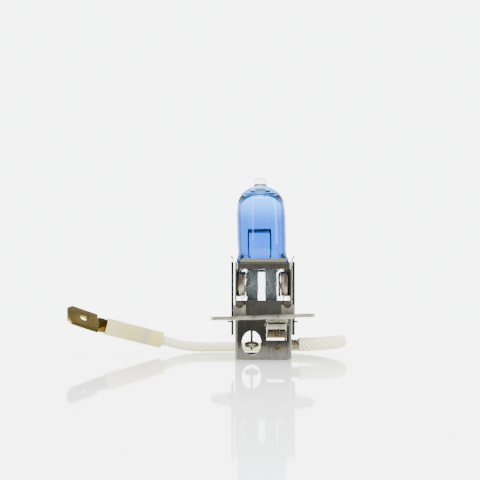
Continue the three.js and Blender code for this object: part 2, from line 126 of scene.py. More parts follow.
def vector(tree, operation, first, second):
    """One step on two vectors. A distance or a dot product is a value, anything else a vector."""
    out = add(tree, "ShaderNodeVectorMath", {0: first, 1: second}, operation=operation).outputs
    return out["Value" if operation in ("DISTANCE", "DOT_PRODUCT") else "Vector"]


def object_place(tree):
    return add(tree, "ShaderNodeTexCoord").outputs["Object"]


def object_height(tree):
    return add(tree, "ShaderNodeSeparateXYZ", {"Vector": object_place(tree)}).outputs["Z"]


def from_mouth(tree, direction):
    """How far a point lies from the sleeve's mouth in a direction, in metres."""
    mouth = (np.array(SLEEVE_START) + (0, 0, REFERENCE)) * MM
    apart = vector(tree, "SUBTRACT", object_place(tree), tuple(mouth))
    return vector(tree, "DOT_PRODUCT", apart, tuple(direction))


def stretched_noise(tree, spacing_mm, stretch, detail=3.0, turn=(0, 0, 0)):
    """Noise whose cell is spacing_mm across, drawn out by the factors in stretch. Returns its value."""
    scale = tuple(1 / (spacing_mm * MM * factor) for factor in stretch)
    place = add(tree, "ShaderNodeMapping", {"Vector": object_place(tree), "Rotation": turn},
                vector_type="TEXTURE")
    sized = vector(tree, "MULTIPLY", place.outputs["Vector"], scale)
    return add(tree, "ShaderNodeTexNoise", {"Vector": sized, "Scale": 1.0, "Detail": detail}).outputs["Fac"]


def ranged(tree, value, low, high, to_low=0.0, to_high=1.0):
    """Maps value from low..high to to_low..to_high, clamped, with a smooth step."""
    step = add(tree, "ShaderNodeMapRange", {
        "Value": value, "From Min": low, "From Max": high, "To Min": to_low, "To Max": to_high,
    }, interpolation_type="SMOOTHSTEP")
    return step.outputs["Result"]


def blended(tree, factor, first, second):
    """The colour between first and second at factor."""
    mix = add(tree, "ShaderNodeMix", {"Factor": factor, "A": first, "B": second}, data_type="RGBA")
    return mix.outputs["Result"]


def bumped(tree, height, depth_mm):
    """A bump whose full height is depth_mm."""
    bump = add(tree, "ShaderNodeBump", {"Height": height, "Distance": depth_mm * MM, "Strength": 1.0})
    return bump.outputs["Normal"]


def ramp(tree, factor, first, last, stops):
    """A colour ramp from first to last, with stops of a place and a hex colour between them."""
    made = add(tree, "ShaderNodeValToRGB", {"Fac": factor})
    elements = made.color_ramp.elements
    elements[0].color = first
    elements[1].color = last
    for where, colour in stops:
        elements.new(where).color = linear(colour)
    return made.outputs["Color"]


def height_mm(value):
    """A height above the flange's upper face, as an object coordinate in metres."""
    return (REFERENCE + value) * MM


# Surface helpers. Points are numpy arrays in mm, from the flange's upper face.

def unit(vectors):
    """Vectors, one a row, made one unit long."""
    return vectors / np.linalg.norm(vectors, axis=1, keepdims=True)


def ring_angles(count):
    """One row of angles round a ring."""
    return np.linspace(0, 2 * np.pi, count, endpoint=False)[None, :]


def sideways(points):
    """Lays points down: Z becomes X, X becomes Y and Y becomes Z."""
    return points[..., [2, 0, 1]]


def facing_front(points, x, front, z):
    """Stands points up: what looked up looks forward from Y = front."""
    return np.stack([points[..., 0] + x, front - points[..., 2], points[..., 1] + z], axis=-1)


def levelled(rings, heights):
    """Rings in X and Y, each lifted to its height."""
    level = np.broadcast_to(np.asarray(heights)[:, None, None], (*np.shape(rings)[:2], 1))
    return np.concatenate([rings, level], axis=-1)


def grid_faces(rows, columns, wrap_rows):
    """Four-sided faces between neighbouring points of a grid of closed rings."""
    r = np.arange(rows if wrap_rows else rows - 1)[:, None]
    c = np.arange(columns)[None, :]
    below, beside = (r + 1) % rows, (c + 1) % columns
    corners = (r * columns + c, r * columns + beside, below * columns + beside, below * columns + c)
    return np.stack(corners, axis=-1).reshape(-1, 4)


def closed(points, wrap_rows=False, caps=True, inward=False):
    """Closes a grid of rings into a solid, with a flat cap on each end, facing out (or in)."""
    rows, columns = points.shape[:2]
    quads = grid_faces(rows, columns, wrap_rows)
    flat = points.reshape(-1, 3)
    faces = [quads]
    if caps and not wrap_rows:
        faces += [np.arange(columns)[None, ::-1], (rows - 1) * columns + np.arange(columns)[None, :]]
    a, b, c, d = (flat[quads[:, i]] for i in range(4))
    volume = np.einsum("ij,ij->", a, np.cross(b, c)) + np.einsum("ij,ij->", a, np.cross(c, d))
    for end in faces[1:]:
        ring = flat[end[0]]
        volume += np.einsum("ij,ij->", np.broadcast_to(ring[0], ring[2:].shape),
                            np.cross(ring[1:-1], ring[2:]))
    if (volume < 0) != inward:
        faces = [face[:, ::-1] for face in faces]
    return flat, faces


def joined(*solids):
    """Puts several (points, faces) solids in one list of points and faces."""
    points, faces, start = [], [], 0
    for flat, groups in solids:
        points.append(flat)
        faces += [group + start for group in groups]
        start += len(flat)
    return np.concatenate(points), faces


def meshed(name, points, groups, material):
    """A mesh from points in metres and groups of faces."""
    mesh = bpy.data.meshes.new(name)
    mesh.from_pydata(points.tolist(), [], [face for group in groups for face in group.tolist()])
    mesh.materials.append(material)
    return mesh


def smoothed(mesh, sharp_angle):
    """Shades a mesh smooth, apart from edges that bend by more than sharp_angle degrees."""
    mesh.polygons.foreach_set("use_smooth", np.ones(len(mesh.polygons), bool))
    mesh.set_sharp_from_angle(angle=math.radians(sharp_angle))


def linked(name, data):
    """A new object in the scene."""
    made = bpy.data.objects.new(name, data)
    bpy.context.scene.collection.objects.link(made)
    return made


def declared(made, body, replaces):
    """Rides a piece on its body and hides the CAD nodes it stands in for."""
    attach(made, body)
    if replaces:
        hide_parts(*replaces)
    return made


def piece(name, solid, material, replaces=(), body=BULB, sharp=35.0, merge=True, second=None,
          second_from=0):
    """Makes a finished piece from a solid in mm, with one material and a body.

    The faces from number second_from on take the second material, if there is one.
    """
    points, groups = solid
    mesh = meshed(name, (points + np.array([0, 0, REFERENCE])) * MM, groups, material)
    if second:
        mesh.materials.append(second)
        number = (np.arange(len(mesh.polygons)) >= second_from).astype(np.int32)
        mesh.polygons.foreach_set("material_index", number)
    if merge:
        work = bmesh.new()
        work.from_mesh(mesh)
        bmesh.ops.remove_doubles(work, verts=work.verts, dist=2e-8)
        bmesh.ops.dissolve_degenerate(work, edges=work.edges, dist=2e-8)
        work.to_mesh(mesh)
        work.free()
    smoothed(mesh, sharp)
    return declared(linked(name, mesh), body, replaces)


def rounded_copy(node, name, material, radius_mm, lean=0.0, thicken=0.0):
    """A merged copy of a CAD node with its flat faces made whole and its corners rounded.

    It leans in Y by lean for each unit above the flange. Its outer X side is moved out by thicken mm.
    """
    mesh = frame["nodes"][node].data.copy()
    work = bmesh.new()
    work.from_mesh(mesh)
    bmesh.ops.remove_doubles(work, verts=work.verts, dist=1e-6)
    bmesh.ops.dissolve_limit(work, angle_limit=math.radians(1.0), verts=work.verts, edges=work.edges)
    work.to_mesh(mesh)
    work.free()
    spots = np.empty(len(mesh.vertices) * 3)
    mesh.vertices.foreach_get("co", spots)
    spots = spots.reshape(-1, 3)
    spots[:, 1] += lean * (spots[:, 2] - REFERENCE * MM)
    outer = np.abs(spots[:, 0]) > np.median(np.abs(spots[:, 0]))
    spots[:, 0] += np.where(outer, np.sign(spots[:, 0]) * thicken * MM, 0)
    mesh.vertices.foreach_set("co", spots.reshape(-1))
    corner_angle = 40
    smoothed(mesh, corner_angle)
    mesh.materials.clear()
    mesh.materials.append(material)
    made = linked(name, mesh)
    edge = made.modifiers.new("Rounded corners", "BEVEL")
    edge.width = radius_mm * MM
    edge.segments = 2
    edge.limit_method = "ANGLE"
    edge.angle_limit = math.radians(corner_angle)
    flat = made.modifiers.new("Flat faces", "WEIGHTED_NORMAL")
    flat.mode = "FACE_AREA"
    flat.weight = 100
    flat.keep_sharp = True
    return declared(made, BULB, (node,))


def curve_through(points, per_span=8):
    """A smooth curve through points: centripetal Catmull-Rom, worked out span by span as Hermite cubics."""
    p = np.asarray(points, float)
    p = np.vstack([2 * p[0] - p[1], p, 2 * p[-1] - p[-2]])
    gaps = np.sqrt(np.linalg.norm(np.diff(p, axis=0), axis=1))[:, None]
    before, here, after = gaps[:-2], gaps[1:-1], gaps[2:]
    p0, p1, p2, p3 = p[:-3], p[1:-2], p[2:-1], p[3:]
    leave = ((p1 - p0) / before - (p2 - p0) / (before + here) + (p2 - p1) / here) * here
    reach = ((p2 - p1) / here - (p3 - p1) / (here + after) + (p3 - p2) / after) * here
    u = np.linspace(0, 1, per_span, endpoint=False)[None, :, None]
    p1, p2, leave, reach = (q[:, None, :] for q in (p1, p2, leave, reach))
    spans = ((2 * u**3 - 3 * u**2 + 1) * p1 + (u**3 - 2 * u**2 + u) * leave
             + (-2 * u**3 + 3 * u**2) * p2 + (u**3 - u**2) * reach)
    return np.vstack([spans.reshape(-1, p.shape[1]), p[-2]])


def spaced(path, count):
    """count points at even distances along a path."""
    travel = np.concatenate([[0], np.cumsum(np.linalg.norm(np.diff(path, axis=0), axis=1))])
    marks = np.linspace(0, travel[-1], count)
    return np.stack([np.interp(marks, travel, path[:, k]) for k in range(path.shape[1])], axis=1), marks


def round_about(path, sides, reference):
    """Unit vectors from a path to its rings: side cos t + rise sin t. Side is square to the reference."""
    along = unit(np.gradient(path, axis=0))
    side = unit(np.cross(along, np.asarray(reference, float)))
    rise = np.cross(side, along)
    t = ring_angles(sides)[..., None]
    return side[:, None] * np.cos(t) + rise[:, None] * np.sin(t)


def swept(path, radius, sides, reference):
    """Rings round a path. The radius is one number, or one a ring."""
    r = np.broadcast_to(np.asarray(radius, float), (len(path),))[:, None, None]
    return path[:, None] + r * round_about(path, sides, reference)


def wire(path, radius, sides=12, reference=(0, 1, 0)):
    """A round wire along a path, drawn in at its first and last rings."""
    thin = np.ones(len(path))
    thin[[0, -1]] = 0.55
    thin[[1, -2]] = 0.9
    return closed(swept(path, radius * thin, sides, reference))


def turned(profile, segments):
    """Profile points (radius, height) turned about Z: radius cos t, radius sin t, height."""
    t = ring_angles(segments)
    radius, height = (np.asarray(profile, float)[:, k][:, None] for k in (0, 1))
    return np.stack([radius * np.cos(t), radius * np.sin(t), height + 0 * t], axis=-1)


def around(outline, spacing):
    """Points at about even spacing round a closed outline, its corners kept."""
    ring = np.vstack([outline, outline[:1]])
    lengths = np.linalg.norm(np.diff(ring, axis=0), axis=1)
    shares = [np.linspace(0, 1, max(1, int(round(n / spacing))), endpoint=False) for n in lengths]
    return np.concatenate([a + s[:, None] * (b - a) for a, b, s in zip(ring[:-1], ring[1:], shares)])


def right_of(line):
    """Unit vectors to the right of a line's direction at each point."""
    along = unit(line)
    return np.stack([along[:, 1], -along[:, 0]], axis=1)


def outward(outline):
    """Outward normals of a closed outline that runs anticlockwise."""
    return right_of(np.roll(outline, -1, axis=0) - np.roll(outline, 1, axis=0))


def edge_profile(thick, edge, steps):
    """How far in and how high a sheet's rounded edge runs, from its lower face to its upper face."""
    turn = np.linspace(0, np.pi / 2, steps + 1)
    inset = edge * (1 - np.sin(turn))
    rise = edge * (1 - np.cos(turn))
    return np.concatenate([inset, inset[::-1]]), np.concatenate([rise, thick - rise[::-1]]) - thick / 2


def sheet_piece(outline, thick, edge):
    """A flat sheet piece with rounded edges: its outline drawn in by the edge profile at each height."""
    inset, height = edge_profile(thick, edge, 3)
    return closed(levelled(outline - inset[:, None, None] * outward(outline), height))


def ring_sheet(outer, inner, thick, edge, steps=3):
    """A sheet between two outlines with the same number of points: up the outside, down the inside."""
    inset, height = edge_profile(thick, edge, steps)
    outside = outer - inset[:, None, None] * outward(outer)
    inside = inner + inset[::-1, None, None] * outward(inner)
    return levelled(np.concatenate([outside, inside]), np.concatenate([height, height[::-1]]))


def strip_outline(centreline, thick):
    """The outline of a bent strip: the centreline moved half a thickness each way, there and back."""
    side = right_of(np.gradient(centreline, axis=0)) * thick / 2
    return np.concatenate([centreline + side, (centreline - side)[::-1]])


def bent_strip(points, thick, low, high):
    """A bent strip: its outline carried from low to high, slightly thinner over the first and last edge."""
    edge = 0.05
    centreline = curve_through(points, 6)
    full, slim = strip_outline(centreline, thick), strip_outline(centreline, thick - 2 * edge)
    return levelled([slim, full, full, slim], [low, low + edge, high - edge, high])


def placed(points, origin, x_axis, y_axis, z_axis):
    """Turns local points into the bulb's frame with three unit vectors and an origin."""
    return np.asarray(origin, float) + points @ np.array([x_axis, y_axis, z_axis], float)


def tilted_axes(azimuth, drop, roll):
    """Unit vectors along, across and normal to a piece that lies at an azimuth, drops, and is rolled."""
    a, d, r = np.radians([azimuth, drop, roll])
    along = np.array([np.cos(d) * np.cos(a), np.cos(d) * np.sin(a), -np.sin(d)])
    level = np.array([-np.sin(a), np.cos(a), 0])
    rise = np.cross(along, level)
    across = level * np.cos(r) + rise * np.sin(r)
    return along, across, np.cross(along, across)


SLEEVE_AXES = tilted_axes(*SLEEVE_TURN)
BLADE_AXES = tilted_axes(*BLADE_TURN)


# Finishes

def clear_quartz():
    """Fused quartz, flame blown: colourless, and smooth enough to look wet."""
    return new_material("Fused quartz, flame blown", Base_Color=linear("#fdfefe"), Roughness=0.005,
                        IOR=1.46, Transmission_Weight=1.0)[0]


def coated_quartz():
    """Quartz with a dipped blue coat: deep blue on the body, paler on the dome, clear seal, spotted tip."""
    look = bpy.context.scene.bulb_capsule
    made, tree, shader = new_material(
        "Fused quartz, dipped in blue coat", Roughness=0.01, IOR=1.46, Transmission_Weight=1.0,
    )
    z = object_height(tree)
    noise = stretched_noise(tree, 1.6, (1, 1, 2.5))
    ragged = calc(tree, "MULTIPLY_ADD", noise, 1.2 * MM, z)
    low = ranged(tree, ragged, height_mm(10.4), height_mm(11.8))
    high = ranged(tree, ragged, height_mm(27.4), height_mm(28.3), 1.0, 0.0)
    body = calc(tree, "MULTIPLY", low, high)
    drops = ranged(tree, stretched_noise(tree, 0.55, (1, 1, 1), 1.0), 0.56, 0.63, 0.0, 0.75)
    tip = calc(tree, "MULTIPLY", drops, ranged(tree, z, height_mm(28.2), height_mm(28.6)))
    coat = calc(tree, "MAXIMUM", body, tip)
    facing = add(tree, "ShaderNodeLayerWeight", {"Blend": 0.5}).outputs["Facing"]
    dome = ranged(tree, z, height_mm(19.5), height_mm(25.6))
    square_on = blended(tree, dome, (*look.coat, 1.0), (*look.coat_dome, 1.0))
    tint = blended(tree, ranged(tree, facing, 0.55, 1.0), square_on, (*look.coat_edge, 1.0))
    pinch_only = ranged(tree, z, height_mm(9.8), height_mm(11.2), 1.0, 0.05)
    wavy = calc(tree, "MULTIPLY", stretched_noise(tree, 0.5, (1, 1, 9)), pinch_only)
    feed(tree, shader, Base_Color=blended(tree, coat, linear("#f3f8f9"), tint),
         Specular_Tint=blended(tree, body, linear("#ffffff"), linear("#9cbcff")),
         Normal=bumped(tree, wavy, 0.05))
    return made


def metal(name, colour, stained, roughness, streak_mm, stretch, depth_mm, turn=(0, 0, 0)):
    """A metal with a brushed or drawn grain: streaks set its stain, roughness and bump.

    Returns the material, its tree, its shader and its stained colour.
    """
    made, tree, shader = new_material(name, Metallic=1.0)
    streaks = stretched_noise(tree, streak_mm, stretch, 4.0, turn)
    mottle = ranged(tree, stretched_noise(tree, 2.2, (1, 1, 1.4), 2.0), 0.35, 0.7)
    share = calc(tree, "MULTIPLY", ranged(tree, streaks, 0.3, 0.75), mottle)
    base = blended(tree, share, linear(colour), linear(stained))
    feed(tree, shader, Base_Color=base, Normal=bumped(tree, streaks, depth_mm),
         Roughness=ranged(tree, streaks, 0.25, 0.75, roughness * 0.75, roughness * 1.3))
    return made, tree, shader, base


def grain_turn(turn):
    """The rotation of a pattern whose X runs along a piece with that azimuth and drop."""
    azimuth, drop, _ = turn
    return 0, math.radians(drop), math.radians(azimuth)


# Each row: name, colour, stained colour, roughness, grain in mm, its stretch, its depth in mm, its turn.
METALS = {
    # Small tabs: satin, so that they take light from all round; paler than the flange's own nickel as a
    # painted highlight, where the tabs catch the light.
    "tab nickel": ("Stamped steel, satin nickel plated tab", "#b9b5a6", "#98927f", 0.42, 0.5, (1, 1, 1),
                   0.005),
    # Flange: satin, darker and softer than the tabs.
    "flange nickel": ("Stamped steel, satin nickel plated", "#928e7f", "#6f6a5b", 0.42, 0.6, (1, 1, 1),
                      0.008),
    # Crimped joint: bright and slightly warm, with a faint orange-peel surface.
    "bright nickel": ("Stamped steel, bright nickel plated", "#c1b9a3", "#958a72", 0.22, 0.5, (1, 1, 1),
                      0.005),
    # Clips: the sealing flame has tinted them brown; a lengthwise grain.
    "spring steel": ("Spring steel, heat tinted", "#94897a", "#5f4f3e", 0.34, 0.22, (1, 1, 18), 0.006),
    # Wires: dark grey and dull, with fine lines along them.
    "tungsten": ("Tungsten, drawn", "#56575c", "#3a3a3e", 0.42, 0.12, (1, 1, 10), 0.003),
    # Seal foils: mid grey with rolling lines and faint crinkles under the glass.
    "molybdenum": ("Molybdenum, rolled foil", "#858b8c", "#62676a", 0.38, 0.25, (1, 1, 14), 0.012),
    # Conductor: warm red metal with fine lines along it.
    "copper": ("Copper, bunched strands", "#c48258", "#8a5436", 0.38, 0.12, (12, 1, 1), 0.01),
    # Spot welds: dull brown buttons on the bright shell.
    "weld": ("Spot weld, heat browned", "#6b6355", "#453d32", 0.55, 0.3, (1, 1, 1), 0.02),
    # Half dimple: a darker brown hollow with a black line over it.
    "dimple": ("Pressed dimple, heat browned", "#4f4028", "#2e2414", 0.5, 0.3, (1, 1, 1), 0.02),
    "sheared edge": ("Sheared edge, black oxide", "#2b2927", "#1d1b1a", 0.5, 0.2, (4, 1, 1), 0.004),
    # Ground tab's foot: duller and browner than the rest of the tab.
    "brazed steel": ("Stamped steel, dulled by brazing", "#6a6353", "#4d4537", 0.42, 0.3, (6, 1, 1), 0.01),
    # Behind the ground tab: a near black sheet, painted shade, so that its slots read as dark gaps.
    "painted slot shade": ("Dark sheet, painted shade behind the slots", "#2b2927", "#1d1b1a", 0.6, 0.3, (4, 1, 1),
                    0.004),
    # Braze: a dark gold loop of melted filler.
    "braze": ("Brazing filler, melted", "#7a6236", "#4a3718", 0.36, 0.3, (1, 1, 1), 0.02),
    # Ferrule: greyish, half bright, with soft crimp grooves.
    "tinned ferrule": ("Ferrule, tinned and crimped", "#99907a", "#6f664f", 0.34, 0.4, (1, 1, 1), 0.01),
    # Terminal's crimps: dark olive, deeper than the blade.
    "crimped brass": ("Brass, rolled and crimped", "#5a4816", "#2f240a", 0.34, 0.3, (16, 1, 1), 0.01,
                      grain_turn(SLEEVE_TURN)),
}


def metal_of(key):
    """A new material from the table's row of that name."""
    return metal(*METALS[key])[0]


def brushed_holder_steel():
    """Nickel-plated sheet steel, brushed along the axis; its lip is painted paler, a painted highlight;
    browned round each weld.
    """
    made, tree, shader, base = metal("Sheet steel, nickel plated and brushed", "#989689", "#706d62", 0.075,
                                     0.16, (1, 1, 26), 0.0008)
    flat = vector(tree, "MULTIPLY", object_place(tree), (1, 0, 1))
    gaps = [vector(tree, "DISTANCE", flat, (x * MM, 0, height_mm(z))) for x, z in WELDS]
    nearest = calc(tree, "MINIMUM", *gaps)
    # Painted highlight: the lip at the top of each shell is painted pale.
    lip_highlight = ranged(tree, object_height(tree), height_mm(11.05), height_mm(11.25))
    plain = blended(tree, lip_highlight, base, linear("#d3cba0"))
    ring = ramp(tree, ranged(tree, nearest, 0.6 * MM, 1.9 * MM), linear("#5c5148"), linear("#aeaaa0"),
                ((0.25, "#5f4a34"), (0.5, "#7d6c50"), (0.75, "#8f8a7e")))
    share = ranged(tree, nearest, 0.9 * MM, 1.6 * MM, 0.85, 0.0)
    feed(tree, shader, Base_Color=blended(tree, share, plain, ring))
    return made


def blackened_strap():
    """Spring steel strap, black oxide; its bent ears at the top are painted bright, a painted highlight."""
    made, tree, shader, base = metal("Spring steel strap, black oxide", "#3b3936", "#2a2826", 0.35,
                                     0.2, (1, 1, 14), 0.002)
    # Painted highlight: the ears above the shell's top are painted pale.
    ear_highlight = ranged(tree, object_height(tree), height_mm(11.0), height_mm(11.6))
    feed(tree, shader, Base_Color=blended(tree, ear_highlight, base, linear("#b9b5a8")))
    return made


def stamped_brass():
    """Brass strip, stamped: olive gold, rolling lines along the blade, dark sheared edges."""
    made, tree, shader, base = metal("Brass, stamped strip", "#948148", "#604c26", 0.26, 0.3, (16, 1, 1),
                                     0.008, grain_turn(BLADE_TURN))
    offset = calc(tree, "ABSOLUTE", from_mouth(tree, BLADE_AXES[1]))
    sheared = ranged(tree, offset, 2.95 * MM, 3.1 * MM)
    feed(tree, shader, Base_Color=blended(tree, sheared, base, linear("#2f2c12")))
    return made


def fibre_braid():
    """Glass fibre, braided: pale cream yarns, with painted shade darkening the gaps between them, and a soft
    sheen.
    """
    made, tree, shader = new_material(
        "Glass fibre, braided", Roughness=0.62, IOR=1.5, Sheen_Weight=0.1, Sheen_Roughness=0.4,
        Subsurface_Weight=0.25, Subsurface_Scale=0.4 * MM,
    )
    depth = add(tree, "ShaderNodeAttribute", attribute_name="yarn_height").outputs["Fac"]
    fibres = stretched_noise(tree, 0.14, (1, 1, 1), 2.0)
    # Painted shade: where the yarn height is low, in the gaps between the yarns, the colour is painted
    # darker.
    painted_gap_shade = ranged(tree, depth, 0.15, 0.85)
    colour = blended(tree, painted_gap_shade, linear("#7c7a52"), linear("#d9dbb8"))
    speck = blended(tree, ranged(tree, fibres, 0.3, 0.6), linear("#c3c49e"), colour)
    feed(tree, shader, Base_Color=speck, Normal=bumped(tree, fibres, 0.02))
    return made


def extruded_silicone():
    """Silicone tube, extruded: cloudy cream; the crimp's end inside is painted on as a grey band, a painted
    shadow seen through the tube.
    """
    look = bpy.context.scene.bulb_lead
    made, tree, shader = new_material(
        "Silicone rubber, extruded", Roughness=0.34, IOR=1.41, Transmission_Weight=0.12,
        Coat_Weight=0.15, Coat_Roughness=0.2,
    )
    travel = from_mouth(tree, SLEEVE_AXES[0])
    run = add(tree, "ShaderNodeMapRange", {"Value": travel, "From Max": look.sleeve_length})
    # The sleeve's own tint along its length, and at 0.7 a grey stop that is a painted shadow of the crimp's
    # end inside.
    tint_and_crimp_shadow = ramp(tree, run.outputs["Result"], (*look.sleeve, 1.0), linear("#c2b05c"),
                ((0.45, "#ada25c"), (0.6, "#a59f6a"), (0.7, "#8b8d7c"), (0.78, "#b8a850")))
    cloud = ranged(tree, stretched_noise(tree, 1.8, (1, 1, 1), 2.0), 0.3, 0.7, 0.0, 0.35)
    feed(tree, shader, Base_Color=blended(tree, cloud, tint_and_crimp_shadow, linear("#aea673")),
         Normal=bumped(tree, stretched_noise(tree, 0.4, (1, 1, 1), 3.0), 0.015))
    return made


def polished_acrylic():
    """Cast acrylic sheet, polished: near white, with a mirror gloss at a low angle."""
    made, tree, shader = new_material("Cast acrylic, polished", Roughness=0.04, IOR=1.55)
    cloud = stretched_noise(tree, 40.0, (1, 1, 1), 1.0)
    feed(tree, shader, Base_Color=blended(tree, cloud, linear("#f2f2f2"), linear("#f6f6f6")))
    return made


# Pieces

def lead_path():
    """The lead's centreline in mm: the route, then the straight stretch into the sleeve."""
    straight = [np.array(SLEEVE_START) + SLEEVE_AXES[0] * distance for distance in STRAIGHT_POINTS]
    return curve_through(np.vstack([np.array(LEAD_ROUTE) / MM, straight]))


def superellipse(half_x, half_y, power, count):
    """One ring: x = a |cos t|^(2/n), y = b |sin t|^(2/n), signs kept; n is 2 for an ellipse."""
    t = ring_angles(count)
    bend = 2 / power[:, None]
    x = half_x[:, None] * np.sign(np.cos(t)) * np.abs(np.cos(t)) ** bend
    y = half_y[:, None] * np.sign(np.sin(t)) * np.abs(np.sin(t)) ** bend
    return x, y


def lofted(stations, count):
    """Rings through stations (height, half width, half depth, power), smoothed between them."""
    table = curve_through(stations, 6)
    z, half_x, half_y, power = table.T
    x, y = superellipse(np.maximum(half_x, 0), np.maximum(half_y, 0), np.maximum(power, 2), count)
    return np.stack([x, y, np.broadcast_to(z[:, None], x.shape)], axis=-1)


def leaned(rings):
    """The blown body stands askew of the seal: x moves by -0.045 for each mm, and above 14.5 by -0.026."""
    shifted = rings.copy()
    shifted[..., 0] -= 0.045 * np.clip(rings[..., 2] - 11.0, 0, 3.5)
    shifted[..., 0] -= 0.026 * np.clip(rings[..., 2] - 14.5, 0, None)
    return shifted


def capsule_outside(look):
    """Flat pinch, shoulders, round body, dome and drawn-out tip."""
    r, thick = look.radius / MM, look.pinch_thickness / MM / 2
    seal = [
        (1.2, 0.0, 0.0, 6), (1.2, 3.9, thick * 0.6, 6), (1.35, 4.5, thick * 0.95, 7),
        (2.2, 4.6, thick, 8), (5.5, 4.62, thick, 8), (9.2, 4.62, thick, 8), (10.1, 4.85, thick + 0.1, 6),
        (10.7, 5.35, thick + 0.7, 4), (11.3, 5.58, thick + 1.7, 3.2), (12.0, 5.48, 4.1, 2.5),
        (12.8, 5.24, 4.75, 2.1), (13.8, 5.14, 5.1, 2),
    ]
    body = [(z, r - inset) for z, inset in (
        (15.6, 0), (19.0, 0), (21.6, 0), (22.9, 0.12), (24.3, 0.36), (25.1, 0.68), (26.0, 1.3),
        (26.5, 1.95), (26.9, 2.6),
    )]
    tip = [(27.2, 2.0), (27.45, 1.6), (27.8, 1.3), (28.2, 1.19), (28.6, 1.25), (28.95, 1.16),
           (29.22, 0.85), (29.38, 0.4), (29.42, 0.0)]
    rings = lofted(np.array(seal + [(z, round_r, round_r, 2) for z, round_r in body + tip]), 112)
    x, y, z = np.moveaxis(rings, -1, 0)
    seal_only = np.clip(z - 2, 0, 1) * np.clip(10.2 - z, 0, 1)
    rib = np.exp(-((np.abs(x) - 3.75) / 0.3) ** 2) * seal_only
    ripple = 0.12 * np.sin(z * 2.1 + np.sign(x)) * rib
    return leaned(np.stack([x + ripple, y + np.sign(y) * 0.3 * rib, z], axis=-1))


def capsule_bore(look):
    """The gas space: a round bore that closes in a flattened bowl below and a dome above."""
    r = look.radius / MM - look.wall / MM
    dome_foot, dome_height, steps = 22.2, 3.65, 11
    stations = np.array([
        (10.9, 0.0, 0.0, 2), (10.95, 2.3, 0.7, 2), (11.2, 3.5, 1.5, 2), (11.6, 4.05, 2.35, 2),
        (12.2, 4.3, 3.4, 2), (13.0, r, 4.05, 2), (13.8, r, r - 0.03, 2), (15.4, r, r, 2),
        (17.0, r, r, 2), (20.0, r, r, 2), (dome_foot, r, r, 2),
    ])
    turn = np.linspace(0, np.pi / 2, steps + 1)[1:]
    width, rise = r * np.cos(turn) ** 0.8, dome_foot + dome_height * np.sin(turn) ** 0.8
    width[-1] = 0.0
    dome = np.stack([rise, width, width, np.full(steps, 2.0)], axis=1)
    return leaned(lofted(np.vstack([stations, dome]), 96))


def braid_surface(path, travel, radius, look):
    """A tube whose radius follows two families of yarns that wind opposite ways and pass over and under."""
    sides = 96
    winding = look.yarns * ring_angles(sides) / (2 * np.pi)
    advance = look.yarns * travel[:, None] / (look.braid_pitch / MM)
    right, left = winding + advance, winding - advance
    lift = np.where((np.floor(right) + np.floor(left)) % 2 > 0, 0.5, -0.5)
    height = 0
    for yarn, crossing, over in ((right, left, lift), (left, right, -lift)):
        swell = 0.5 + over * np.sin(np.pi * (crossing % 1))
        crown = np.abs(np.sin(np.pi * yarn)) ** 0.6
        height = np.maximum(height, crown * (0.35 + 0.65 * swell))
    r = radius[:, None] + look.yarn_relief / MM * (height - 1)
    return path[:, None] + r[..., None] * round_about(path, sides, (0, 0, 1)), height


# Settings

class BulbStage(bpy.types.PropertyGroup):
    focal_length: FloatProperty(
        name="Focal length", description="Lens of the camera", default=46.5, subtype="DISTANCE_CAMERA")
    distance: FloatProperty(
        name="Distance", description="Camera to the bulb's axis", default=0.1315, unit="LENGTH")
    floor_front: FloatProperty(
        name="Floor front", description="How far the floor runs before the bulb", default=0.103,
        unit="LENGTH")
    brightness: FloatProperty(name="Brightness", description="Brightness of the surroundings", default=6.6)


class BulbCapsule(bpy.types.PropertyGroup):
    radius: FloatProperty(
        name="Radius", description="Outer radius of the glass body", default=5.2 * MM, unit="LENGTH")
    wall: FloatProperty(
        name="Wall", description="Thickness of the glass wall", default=0.85 * MM, unit="LENGTH")
    pinch_thickness: FloatProperty(
        name="Pinch thickness", description="Thickness of the flat seal", default=2.7 * MM,
        unit="LENGTH")
    coil_turns: IntProperty(name="Coil turns", description="Turns of the filament", default=12)
    coat: FloatVectorProperty(
        name="Coat", description="Blue of the coat seen square on", size=3, subtype="COLOR",
        default=linear("#034db2")[:3])
    coat_dome: FloatVectorProperty(
        name="Coat on the dome", description="Paler blue at the top", size=3, subtype="COLOR",
        default=linear("#3d93f5")[:3])
    coat_edge: FloatVectorProperty(
        name="Coat edge", description="Blue of the coat at its rim", size=3, subtype="COLOR",
        default=linear("#0638a8")[:3])


class BulbHolder(bpy.types.PropertyGroup):
    edge: FloatProperty(
        name="Edge radius", description="Rounding of the sheared sheet edges", default=0.07 * MM,
        unit="LENGTH")
    lean: FloatProperty(
        name="Lean", description="How far the front shell leans back per unit of height", default=0.0118)
    flange_radius: FloatProperty(
        name="Flange radius", description="Radius of the round flange", default=FLANGE_RADIUS * MM,
        unit="LENGTH")
    flange_droop: FloatProperty(
        name="Flange droop", description="How much lower the flange's left rim is than its right",
        default=0.75 * MM, unit="LENGTH")


class BulbLead(bpy.types.PropertyGroup):
    diameter: FloatProperty(
        name="Diameter", description="Diameter of the braided lead", default=2.5 * MM, unit="LENGTH")
    yarns: IntProperty(name="Yarns", description="Yarns that wind each way round the lead", default=7)
    braid_pitch: FloatProperty(
        name="Braid pitch", description="Length of one turn of a yarn", default=7.0 * MM, unit="LENGTH")
    yarn_relief: FloatProperty(
        name="Yarn relief", description="Height of a yarn over the gaps", default=0.3 * MM,
        unit="LENGTH")
    sleeve: FloatVectorProperty(
        name="Sleeve", description="Cream of the silicone sleeve", size=3, subtype="COLOR",
        default=linear("#bbb074")[:3])
    sleeve_length: FloatProperty(
        name="Sleeve length", description="Length of the silicone sleeve", default=13.9 * MM,
        unit="LENGTH")


# Operators

